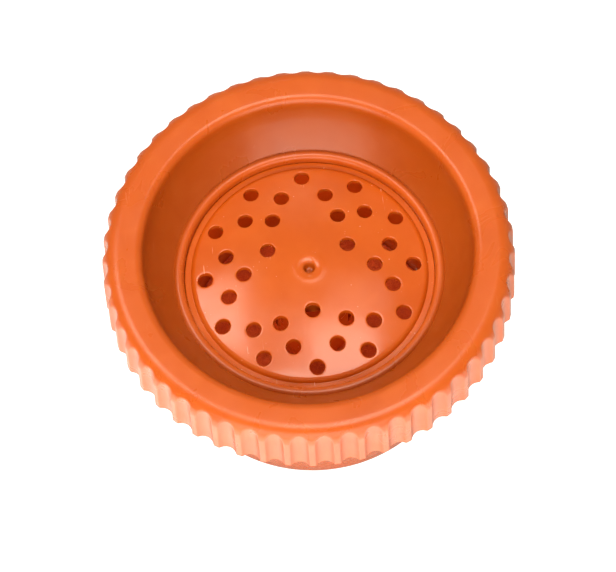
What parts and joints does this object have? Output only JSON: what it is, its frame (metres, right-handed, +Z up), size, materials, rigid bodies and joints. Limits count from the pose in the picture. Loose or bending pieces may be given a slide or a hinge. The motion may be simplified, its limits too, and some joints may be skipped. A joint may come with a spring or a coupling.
{
  "type": "pheromone insect trap",
  "caption": "Low pitfall trap: a fluted screw cap with a funnel mouth holds a domed sieve plate and a lure cage over a tapered catch cup.",
  "frame": {"origin": "centre of the foot, on the surface that the trap stands on", "axes": "+Z up along the trap's own axis; -Y faces the viewer of the picture, +X is to their right"},
  "size_m": [0.09, 0.09, 0.048],
  "materials": {
    "cap_plastic": "glossy moulded polypropylene, slightly translucent orange",
    "plate_plastic": "glossy moulded polypropylene, slightly translucent orange, fine scuffs",
    "cup_plastic": "glossy moulded polypropylene, slightly translucent orange",
    "gasket_rubber": "soft black foam rubber",
    "cage_plastic": "moulded polypropylene, slightly translucent orange",
    "septum_rubber": "matte grey butyl rubber",
    "pad_felt": "pressed felt dyed rust orange"
  },
  "bodies": {
    "cup": {"catch_cup": "cup_plastic", "kill_pad": "pad_felt"},
    "gasket": {"cap_gasket": "gasket_rubber"},
    "cap": {"screw_cap": "cap_plastic"},
    "plate": {"sieve_plate": "plate_plastic", "lure_cage": "cage_plastic", "lure_septum": "septum_rubber"},
    "cage_plug": {"cage_cap": "cage_plastic"}
  },
  "joints": [
    {"name": "cap_rise", "type": "slide", "parent": "cup", "child": "gasket", "axis": [0, 0, 1], "range_m": [0, 0.00501]},
    {"name": "cap_turn", "type": "hinge", "parent": "gasket", "child": "cap", "pos_m": [0, 0, 0.04], "axis": [0, 0, 1], "range_deg": [0, 450]},
    {"name": "plate_lift", "type": "slide", "parent": "cap", "child": "plate", "axis": [0, 0, 1], "range_m": [0, 0.03]},
    {"name": "cage_cap_turn", "type": "hinge", "parent": "plate", "child": "cage_plug", "pos_m": [0, 0, 0.012], "axis": [0, 0, 1], "range_deg": [0, 90]}
  ],
  "couplings": [
    {"joint": "cap_rise", "follows": "cap_turn", "m_per_rad": 0.00063662}
  ]
}
